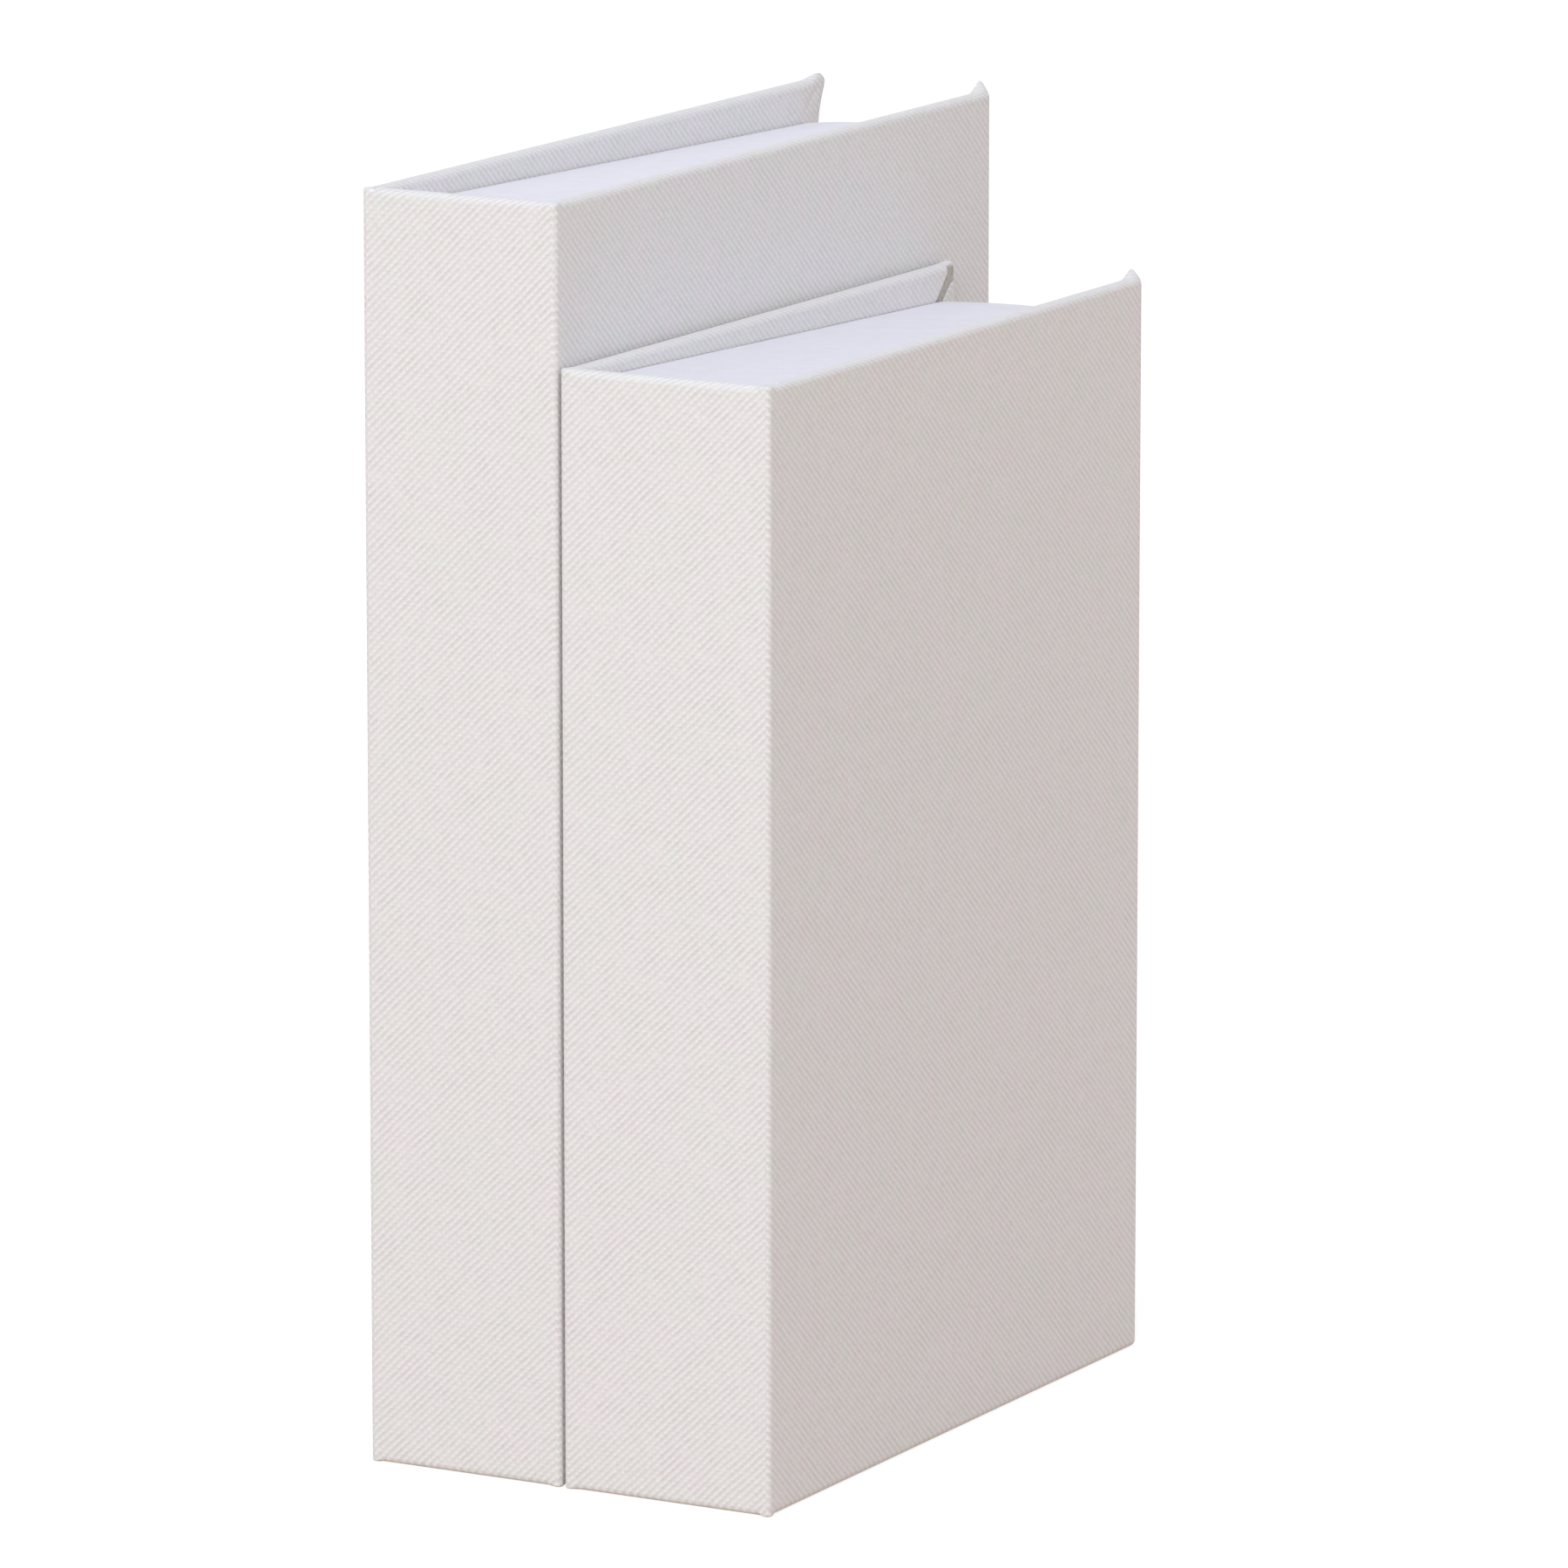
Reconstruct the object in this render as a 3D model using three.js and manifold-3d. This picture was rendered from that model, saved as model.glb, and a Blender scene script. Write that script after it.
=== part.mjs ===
// A standing pair of book-shaped storage boxes covered in off-white bookcloth.
//
// Each box is a hard case of three cloth-covered boards (lid, spine and back cover) round a shallow
// paper-covered tray that looks like a block of pages. The tray is glued to the back cover and the
// spine. The lid turns on the cloth joint at one front corner and is held shut by small magnets.
// The tall box opens on its left, the short one on its right, so each opens while they stand together.
//
// Millimetres. +Z is up, the spines face -Y, and the covers run back along +Y.

import * as THREE from 'three';
import { mergeVertices } from 'three/addons/utils/BufferGeometryUtils.js';
import Module from 'manifold-3d';

// Overall sizes of the tall box.
const LARGE_HEIGHT = 270;
const LARGE_DEPTH = 190;
const LARGE_THICKNESS = 46;

// Overall sizes of the short box.
const SMALL_HEIGHT = 236;
const SMALL_DEPTH = 166;
const SMALL_THICKNESS = 49;

// How far the covers stand past the tray, at the head and tail, beside the spine and at the fore edge.
const LARGE_SQUARE_AT_SPINE = 4;
const LARGE_SQUARE_AT_FORE_EDGE = 9;
const SMALL_SQUARE_AT_SPINE = 2.7;
const SMALL_SQUARE_AT_FORE_EDGE = 7.7;

// How far the covers stand past the tray's fore edge.
const FORE_EDGE_SQUARE = 7;

// The crack between the two boxes.
const BOX_GAP = 0.75;

// Sheet materials of the case.
const COVER_BOARD = 2;
const CLOTH = 0.5;
const GLUE = 0.25;
const TURN_IN = 12;
const EDGE_RADIUS = 1.25;

// Sheet materials of the tray.
const WALL_BOARD = 2.5;
const FORE_EDGE_WALL_BOARD = 6;
const BASE_BOARD = 2;
const PAPER = 0.25;

// Clearances: beside the turning joint, under the closed lid, at cut sheet edges and at tray corners.
const JOINT_GAP = 0.3;
const LID_GAP = 0.3;
const SHEET_GAP = 0.25;
const CORNER_GAP = 0.1;

// Disc magnets, and how far their centres lie from the head and tail of the case.
const TRAY_MAGNET_DIAMETER = 4;
const TRAY_MAGNET_THICKNESS = 2;
const LID_MAGNET_DIAMETER = 8;
const LID_MAGNET_THICKNESS = 1.25;
const MAGNET_FIT = 0.2;
const MAGNET_FROM_END = 60;

// How finely round stretches are cut.
const EDGE_STEPS = 5;
const JOINT_STEPS = 32;
const MAGNET_STEPS = 32;

// A finished cover: board, glue and cloth on both faces. The cloth joints are as thick as the covers.
const COVER = COVER_BOARD + 2 * (GLUE + CLOTH);
const JOINT_RADIUS = COVER / 2;
const COVER_START = COVER + JOINT_GAP;

// Cutting tools run this far past what they cut.
const OVERCUT = 1;

const wasm = await Module();
wasm.setup();

const AXES = {
  x: [new THREE.Vector3(0, 1, 0), new THREE.Vector3(0, 0, 1), new THREE.Vector3(1, 0, 0)],
  y: [new THREE.Vector3(0, 0, 1), new THREE.Vector3(1, 0, 0), new THREE.Vector3(0, 1, 0)],
  z: [new THREE.Vector3(1, 0, 0), new THREE.Vector3(0, 1, 0), new THREE.Vector3(0, 0, 1)],
};

// A rectangle whose corners have the given radii, from the low corner round by the first axis.
function roundedRectangle(low, high, radii) {
  const corners = [
    { at: [low[0], low[1]], inward: [1, 1], start: Math.PI },
    { at: [high[0], low[1]], inward: [-1, 1], start: -Math.PI / 2 },
    { at: [high[0], high[1]], inward: [-1, -1], start: 0 },
    { at: [low[0], high[1]], inward: [1, -1], start: Math.PI / 2 },
  ];
  const points = [];
  corners.forEach(({ at, inward, start }, i) => {
    const radius = radii[i];
    const steps = radius > 0 ? EDGE_STEPS : 0;
    for (let step = 0; step <= steps; step += 1) {
      const angle = start + (steps ? (step / steps) * (Math.PI / 2) : 0);
      const reach = radius > 0 ? [Math.cos(angle), Math.sin(angle)] : [0, 0];
      points.push(new THREE.Vector2(
        at[0] + radius * (inward[0] + reach[0]),
        at[1] + radius * (inward[1] + reach[1]),
      ));
    }
  });
  return points;
}

// A closed outline run along one axis. It lies in the other two, taken in the order x, y, z, x.
function run(outline, axis, from, to) {
  const geometry = new THREE.ExtrudeGeometry(new THREE.Shape(outline), {
    depth: to - from,
    bevelEnabled: false,
  });
  geometry.translate(0, 0, from);
  geometry.applyMatrix4(new THREE.Matrix4().makeBasis(...AXES[axis]));
  return geometry;
}

function block(low, high) {
  return run(roundedRectangle([low[0], low[1]], [high[0], high[1]], [0, 0, 0, 0]), 'z', low[2], high[2]);
}

// A disc whose axis runs along x.
function disc(diameter, from, to, y, z) {
  const geometry = new THREE.CylinderGeometry(diameter / 2, diameter / 2, to - from, MAGNET_STEPS);
  geometry.rotateZ(Math.PI / 2);
  geometry.translate((from + to) / 2, y, z);
  return geometry;
}

function bare(geometry) {
  const copy = geometry.clone();
  copy.deleteAttribute('normal');
  copy.deleteAttribute('uv');
  return mergeVertices(copy);
}

function toSolid(geometry) {
  const merged = bare(geometry);
  return new wasm.Manifold(new wasm.Mesh({
    numProp: 3,
    vertProperties: new Float32Array(merged.attributes.position.array),
    triVerts: new Uint32Array(merged.index.array),
  }));
}

function toGeometry(solid) {
  const mesh = solid.getMesh();
  const geometry = new THREE.BufferGeometry();
  geometry.setAttribute('position', new THREE.BufferAttribute(new Float32Array(mesh.vertProperties), 3));
  geometry.setIndex(new THREE.BufferAttribute(new Uint32Array(mesh.triVerts), 1));
  return geometry;
}

function common(first, second) {
  return toGeometry(toSolid(first).intersect(toSolid(second)));
}

function cut(body, ...tools) {
  return toGeometry(tools.reduce((solid, tool) => solid.subtract(toSolid(tool)), toSolid(body)));
}

// The mirror image across the plane x = middle, with its faces turned to point out again.
function mirrored(geometry, middle) {
  const copy = bare(geometry);
  copy.scale(-1, 1, 1);
  copy.translate(2 * middle, 0, 0);
  const index = copy.index.array;
  for (let i = 0; i < index.length; i += 3) {
    [index[i + 1], index[i + 2]] = [index[i + 2], index[i + 1]];
  }
  return copy;
}

// The easing of a case edge that is drawn in by an inset: never more than half the cover's thickness.
function edgeRadius(inset) {
  return Math.max(Math.min(EDGE_RADIUS, JOINT_RADIUS) - inset, 0);
}

// A cover's slab, drawn in by an inset from its faces and its three outer edges, with eased edges.
// It stands on the lid's side, its outer face at x = 0, and starts square behind the cloth joint.
function coverSlab(box, inset, start) {
  const radius = edgeRadius(inset);
  const thick = [inset, COVER - inset];
  const plan = roundedRectangle([thick[0], start], [thick[1], box.depth - inset], [0, 0, radius, radius]);
  const end = roundedRectangle(
    [inset, thick[0]],
    [box.height - inset, thick[1]],
    [radius, radius, radius, radius],
  );
  return common(run(plan, 'z', 0, box.height), run(end, 'y', 0, box.depth));
}

function coverBoard(box) {
  return coverSlab(box, CLOTH + GLUE, COVER_START);
}

// The cloth goes over the outer face and three edges and turns in on the inner face.
function coverCloth(box) {
  const window = block(
    [COVER / 2, COVER_START - OVERCUT, TURN_IN],
    [COVER + OVERCUT, box.depth - TURN_IN, box.height - TURN_IN],
  );
  return cut(coverSlab(box, 0, COVER_START), coverSlab(box, CLOTH, COVER_START - OVERCUT), window);
}

// The paper lining lies inside the frame of the turn-ins, level with them.
function coverLining(box) {
  const margin = TURN_IN + SHEET_GAP;
  return block([COVER - CLOTH, COVER_START, margin], [COVER, box.depth - margin, box.height - margin]);
}

function spineSlab(box, inset, overrun) {
  const radius = edgeRadius(inset);
  const profile = roundedRectangle(
    [inset, inset],
    [COVER - inset, box.height - inset],
    [radius, radius, radius, radius],
  );
  return run(profile, 'x', COVER_START - overrun, box.thickness - COVER_START + overrun);
}

function spineBoard(box) {
  return spineSlab(box, CLOTH + GLUE, 0);
}

function spineCloth(box) {
  const window = block(
    [0, COVER / 2, TURN_IN],
    [box.thickness, COVER + OVERCUT, box.height - TURN_IN],
  );
  return cut(spineSlab(box, 0, 0), spineSlab(box, CLOTH, OVERCUT), window);
}

function spineLining(box) {
  const margin = TURN_IN + SHEET_GAP;
  return block(
    [COVER_START, COVER - CLOTH, margin],
    [box.thickness - COVER_START, COVER, box.height - margin],
  );
}

// The cloth joint is a rolled fold up the whole front corner. The lid turns about its middle.
function jointCloth(box) {
  const easing = edgeRadius(0);
  const profile = [new THREE.Vector2(0, 0)];
  for (let step = 0; step <= EDGE_STEPS; step += 1) {
    const angle = (step / EDGE_STEPS) * (Math.PI / 2);
    const rise = easing * (1 - Math.cos(angle));
    profile.push(new THREE.Vector2(JOINT_RADIUS - easing * (1 - Math.sin(angle)), rise));
  }
  const upper = profile.map((point) => new THREE.Vector2(point.x, box.height - point.y)).reverse();
  const geometry = new THREE.LatheGeometry([...profile, ...upper], JOINT_STEPS);
  geometry.rotateX(Math.PI / 2);
  geometry.translate(JOINT_RADIUS, JOINT_RADIUS, 0);
  return toGeometry(toSolid(geometry));
}

// Layers of a tray wall, as insets from the tray's outer face: its paper, its board and its lining.
const WALL_LAYERS = {
  outside: 0,
  paperBack: PAPER,
  boardOut: PAPER + GLUE,
  boardIn: PAPER + GLUE,
  liningBack: PAPER + 2 * GLUE,
  inside: 2 * (PAPER + GLUE),
};
const LAYERS_PAST_BOARD = ['boardIn', 'liningBack', 'inside'];

function depthTo(layer, board) {
  return WALL_LAYERS[layer] + (LAYERS_PAST_BOARD.includes(layer) ? board : 0);
}

// Where the tray lies across the box: its open rim, under the lid, and the underside of its base.
const TRAY_RIM = COVER + LID_GAP;

function trayBack(box) {
  return box.thickness - COVER - GLUE;
}

// Where the walls and the floor lining stand: on the base board's inner face, with glue between.
function trayFloor(box) {
  return trayBack(box) - BASE_BOARD - GLUE;
}

// A corner of the tray's outline in y and z, drawn in to one layer. The head and tail lean together
// towards the fore edge, so their insets are measured square to the leaning wall.
function trayCorner(box, layer, atForeEdge, atHead, extra = 0) {
  const spineY = COVER + GLUE;
  const foreY = box.depth - FORE_EDGE_SQUARE;
  const lean = (box.squareAtForeEdge - box.squareAtSpine) / (foreY - spineY);
  const y = atForeEdge
    ? foreY - depthTo(layer, FORE_EDGE_WALL_BOARD) - extra
    : spineY + depthTo(layer, WALL_BOARD) + extra;
  const square = box.squareAtSpine + lean * (y - spineY);
  const drawnIn = square + (depthTo(layer, WALL_BOARD) + extra) * Math.hypot(1, lean);
  return new THREE.Vector2(y, atHead ? box.height - drawnIn : drawnIn);
}

// The tray's outline at one layer, going round by the tail, the fore edge, the head and the spine.
const TRAY_CORNERS = [[false, false], [true, false], [true, true], [false, true]];
const TRAY_SIDES = ['tail', 'fore_edge', 'head', 'spine'];

function trayOutline(box, layer, extra = 0) {
  return TRAY_CORNERS.map(([fore, head]) => trayCorner(box, layer, fore, head, extra));
}

// One side of the tray between two layers, with its mitred ends drawn back from the corners.
function traySide(box, side, outer, inner, gap) {
  const first = TRAY_SIDES.indexOf(side);
  const last = (first + 1) % TRAY_CORNERS.length;
  const out = trayOutline(box, outer);
  const inn = trayOutline(box, inner);
  const along = out[last].clone().sub(out[first]).setLength(gap);
  return [
    out[first].add(along),
    out[last].sub(along),
    inn[last].sub(along),
    inn[first].add(along),
  ];
}

function trayWall(box, side) {
  const outline = traySide(box, side, 'boardOut', 'boardIn', CORNER_GAP);
  return run(outline, 'x', TRAY_RIM + PAPER + GLUE, trayFloor(box));
}

// The page-white paper covers a wall's outer face and the base's edge, goes over the rim and down inside.
function trayPaper(box, side) {
  const whole = traySide(box, side, 'outside', 'inside', CORNER_GAP);
  const pocket = traySide(box, side, 'paperBack', 'liningBack', -OVERCUT);
  const baseRoom = trayOutline(box, 'paperBack');
  return cut(
    run(whole, 'x', TRAY_RIM, trayBack(box)),
    run(pocket, 'x', TRAY_RIM + PAPER, trayFloor(box)),
    run(baseRoom, 'x', trayFloor(box), trayBack(box) + OVERCUT),
  );
}

function trayBase(box) {
  return run(trayOutline(box, 'boardOut'), 'x', trayBack(box) - BASE_BOARD, trayBack(box));
}

function trayFloorLining(box) {
  return run(trayOutline(box, 'inside', SHEET_GAP), 'x', trayFloor(box) - PAPER, trayFloor(box));
}

// The magnets' place in y: the middle of the fore-edge wall's board.
function magnetY(box) {
  const outer = trayCorner(box, 'boardOut', true, true).x;
  return outer - FORE_EDGE_WALL_BOARD / 2;
}

function magnetHeights(box) {
  return { upper: box.height - MAGNET_FROM_END, lower: MAGNET_FROM_END };
}

// A tray magnet sits in the rim of the fore-edge wall, under the paper.
function trayMagnet(box, z, room = 0) {
  const rim = TRAY_RIM + PAPER + GLUE;
  const diameter = TRAY_MAGNET_DIAMETER + 2 * room;
  return disc(diameter, rim - (room ? OVERCUT : 0), rim + TRAY_MAGNET_THICKNESS + room, magnetY(box), z);
}

// A lid magnet sits in the inner face of the lid board, under the cloth or the lining.
function lidMagnet(box, z, room = 0) {
  const face = COVER - CLOTH - GLUE;
  const diameter = LID_MAGNET_DIAMETER + 2 * room;
  return disc(diameter, face - LID_MAGNET_THICKNESS - room, face + (room ? OVERCUT : 0), magnetY(box), z);
}

function withPockets(box, geometry, magnet) {
  const pockets = Object.values(magnetHeights(box)).map((z) => magnet(box, z, MAGNET_FIT));
  return cut(geometry, ...pockets);
}

const MATERIALS = {
  cloth: { color: 0xe4dfdc, roughness: 0.92, metalness: 0 },
  board: { color: 0x8d8983, roughness: 0.95, metalness: 0 },
  page: { color: 0xe2e2ec, roughness: 0.75, metalness: 0 },
  lining: { color: 0xeceae6, roughness: 0.8, metalness: 0 },
  magnet: { color: 0xb8bcc2, roughness: 0.3, metalness: 1 },
};

// All pieces of one box, by name, drawn with the lid at x = 0 and the back cover at x = thickness.
function pieces(box) {
  const middle = box.thickness / 2;
  const list = [
    ['back_cover_board', mirrored(coverBoard(box), middle), 'board'],
    ['back_cover_cloth', mirrored(coverCloth(box), middle), 'cloth'],
    ['back_cover_lining', mirrored(coverLining(box), middle), 'lining'],
    ['back_joint_cloth', mirrored(jointCloth(box), middle), 'cloth'],
    ['spine_board', spineBoard(box), 'board'],
    ['spine_cloth', spineCloth(box), 'cloth'],
    ['spine_lining', spineLining(box), 'lining'],
    ['lid_joint_cloth', jointCloth(box), 'cloth'],
    ['lid_board', withPockets(box, coverBoard(box), lidMagnet), 'board'],
    ['lid_cloth', coverCloth(box), 'cloth'],
    ['lid_lining', coverLining(box), 'lining'],
    ['tray_base_board', trayBase(box), 'board'],
    ['tray_floor_lining', trayFloorLining(box), 'lining'],
  ];
  TRAY_SIDES.forEach((side) => {
    const wall = trayWall(box, side);
    const pocketed = side === 'fore_edge' ? withPockets(box, wall, trayMagnet) : wall;
    list.push([`tray_${side}_wall`, pocketed, 'board']);
    list.push([`tray_${side}_paper`, trayPaper(box, side), 'page']);
  });
  Object.entries(magnetHeights(box)).forEach(([place, z]) => {
    list.push([`tray_${place}_magnet`, trayMagnet(box, z), 'magnet']);
    list.push([`lid_${place}_magnet`, lidMagnet(box, z), 'magnet']);
  });
  return list;
}

function buildBox(box) {
  const group = new THREE.Group();
  pieces(box).forEach(([name, geometry, finish]) => {
    const shape = box.lidOnRight ? mirrored(geometry, box.thickness / 2) : bare(geometry);
    shape.computeVertexNormals();
    const mesh = new THREE.Mesh(shape, new THREE.MeshStandardMaterial(MATERIALS[finish]));
    mesh.name = `${box.name}_${name}`;
    group.add(mesh);
  });
  return group;
}

const LARGE_BOX = {
  name: 'large',
  height: LARGE_HEIGHT,
  depth: LARGE_DEPTH,
  thickness: LARGE_THICKNESS,
  squareAtSpine: LARGE_SQUARE_AT_SPINE,
  squareAtForeEdge: LARGE_SQUARE_AT_FORE_EDGE,
  lidOnRight: false,
};

const SMALL_BOX = {
  name: 'small',
  height: SMALL_HEIGHT,
  depth: SMALL_DEPTH,
  thickness: SMALL_THICKNESS,
  squareAtSpine: SMALL_SQUARE_AT_SPINE,
  squareAtForeEdge: SMALL_SQUARE_AT_FORE_EDGE,
  lidOnRight: true,
};

// The pair stands with its spines in one plane, centred on the origin.
const pair = new THREE.Group();
const width = LARGE_BOX.thickness + BOX_GAP + SMALL_BOX.thickness;
const depth = Math.max(LARGE_BOX.depth, SMALL_BOX.depth);
const largeGroup = buildBox(LARGE_BOX);
const smallGroup = buildBox(SMALL_BOX);
largeGroup.position.set(-width / 2, -depth / 2, 0);
smallGroup.position.set(-width / 2 + LARGE_BOX.thickness + BOX_GAP, -depth / 2, 0);
pair.add(largeGroup, smallGroup);

export default pair;
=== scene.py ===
"""A standing pair of book-shaped storage boxes covered in off-white bookcloth.

Each box is a hard case of cloth-covered boards round a tray that is papered to look like a block of
pages. The tall box opens on its left and the short one on its right. Lengths in this file are in
millimetres unless a name says otherwise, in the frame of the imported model: +Z up, spines facing -Y.
"""

import logging
import math
from collections.abc import Callable, Sequence
from dataclasses import dataclass, field
from enum import Enum

import bmesh
import bpy
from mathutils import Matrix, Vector


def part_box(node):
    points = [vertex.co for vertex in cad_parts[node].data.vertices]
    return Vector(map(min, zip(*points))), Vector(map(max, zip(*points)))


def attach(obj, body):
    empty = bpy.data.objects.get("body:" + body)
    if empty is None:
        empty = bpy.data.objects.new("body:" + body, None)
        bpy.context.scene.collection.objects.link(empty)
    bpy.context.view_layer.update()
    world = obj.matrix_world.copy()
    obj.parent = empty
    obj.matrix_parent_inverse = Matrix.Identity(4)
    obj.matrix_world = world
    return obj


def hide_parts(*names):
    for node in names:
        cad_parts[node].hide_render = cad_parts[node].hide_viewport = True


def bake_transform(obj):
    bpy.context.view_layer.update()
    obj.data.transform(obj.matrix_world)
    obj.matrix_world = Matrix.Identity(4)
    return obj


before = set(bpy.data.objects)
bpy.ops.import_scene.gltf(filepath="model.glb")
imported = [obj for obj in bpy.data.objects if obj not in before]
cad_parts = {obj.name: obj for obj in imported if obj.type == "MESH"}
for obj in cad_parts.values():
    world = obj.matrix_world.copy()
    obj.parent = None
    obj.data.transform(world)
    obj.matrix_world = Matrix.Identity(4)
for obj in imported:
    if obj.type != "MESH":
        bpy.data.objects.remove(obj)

log = logging.getLogger("boxes")

MM = 0.001
Point = tuple[float, float, float]
Plan = tuple[float, float]
Colour = tuple[float, float, float, float]

# Sheet materials of the case and the tray, as cut.
COVER = 3.5
CLOTH = 0.5
JOINT_GAP = 0.3
TURN_IN = 12.0
COVER_START = COVER + JOINT_GAP
JOINT_AXIS = COVER / 2
TIP_GAP = 0.2
WALL = 3.5
FORE_EDGE_WALL = 7.0
PAPER = 0.25

# The cloth's outer edges: round nearly everywhere, tight where a cover folds round an upright corner,
# and eased from one to the other over this length.
UPRIGHT_CORNER = 1.2
ROUND_RIM = 1.5
TIGHT_RIM = 0.45
RIM_EASE = 2.0
RIM_STEPS = 7
# How far in from a board's edge its plain outer face starts, and the last row of points before its rim.
PLAIN_FACE = 3.2
LAST_FACE_ROW = 2.0

# A drawn sheet is thinner than the real one by this much, so that it clears what it covers.
SHEET_GAP = 0.02
# Shorter than anything drawn.
HAIR = 0.01
# Points closer than this are one point.
SAME_POINT = 0.002
# Edges that turn more than this are drawn crisp.
SHARP_DEGREES = 32.0


class Side(Enum):
    """Which side of a box, seen from the spine, carries its lid."""

    LEFT = "left"
    RIGHT = "right"


class Mitre(Enum):
    """How the two turn-ins meet on the inner face at a cover's far corners."""

    CLOSED = "closed"
    OPEN = "open"


def linear(hex_colour: str) -> Colour:
    """An sRGB hex colour as linear red, green, blue and alpha.

    Args:
        hex_colour: Six hex digits with a leading hash.

    Returns:
        The linear colour, with an alpha of 1.
    """

    def one(pair: str) -> float:
        """One channel made linear."""
        value = int(pair, 16) / 255
        return value / 12.92 if value <= 0.04045 else ((value + 0.055) / 1.055) ** 2.4

    digits = hex_colour.lstrip("#")
    return one(digits[0:2]), one(digits[2:4]), one(digits[4:6]), 1.0


def eased(share: float) -> float:
    """A share held between 0 and 1 that starts and ends softly."""
    share = min(max(share, 0.0), 1.0)
    return share * share * (3 - 2 * share)


def quarter_turn(steps: int) -> list[float]:
    """The angles of a quarter turn in even steps, in radians."""
    return [step / steps * math.pi / 2 for step in range(steps + 1)]


def rim_radius(past_fold: float) -> float:
    """How round the cloth runs over an edge, a distance past where a tight fold ends."""
    return TIGHT_RIM + (ROUND_RIM - TIGHT_RIM) * eased(past_fold / RIM_EASE)


def crisp(mesh: bpy.types.Mesh) -> None:
    """Shades a mesh smooth between its crisp edges."""
    mesh.shade_smooth()
    mesh.set_sharp_from_angle(angle=math.radians(SHARP_DEGREES))


def in_scene(name: str, data: bpy.types.ID) -> bpy.types.Object:
    """Puts a mesh, lens or light into the scene as an object."""
    made = bpy.data.objects.new(name, data)
    bpy.context.scene.collection.objects.link(made)
    return made


class Recipe:
    """A node tree under construction for one material or world."""

    def __init__(self, owner: bpy.types.Material | bpy.types.World) -> None:
        """Clears the owner's node tree.

        Args:
            owner: The material or world whose nodes are made.
        """
        owner.use_nodes = True
        self.tree = owner.node_tree
        self.tree.nodes.clear()

    def add(self, kind: str, operation: str = "", data_type: str = "", **inputs: object) -> bpy.types.Node:
        """Adds a node, sets it up and links what feeds it.

        Args:
            kind: Blender's name for the node, without its ShaderNode start.
            operation: What a Math or Vector Math node does.
            data_type: What a Mix node mixes.
            **inputs: Input sockets by name with _ for a space, or i0, i1 by place. A socket is
                linked, a node's first output is linked and anything else is set as the value.

        Returns:
            The node.
        """
        node = self.tree.nodes.new("ShaderNode" + kind)
        if operation:
            node.operation = operation
        if data_type:
            node.data_type = data_type
        for name, value in inputs.items():
            place = name[1:]
            socket = node.inputs[int(place)] if place.isdigit() else node.inputs[name.replace("_", " ")]
            if isinstance(value, bpy.types.Node):
                value = value.outputs[0]
            if isinstance(value, bpy.types.NodeSocket):
                self.tree.links.new(value, socket)
            else:
                socket.default_value = value
        return node


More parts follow.
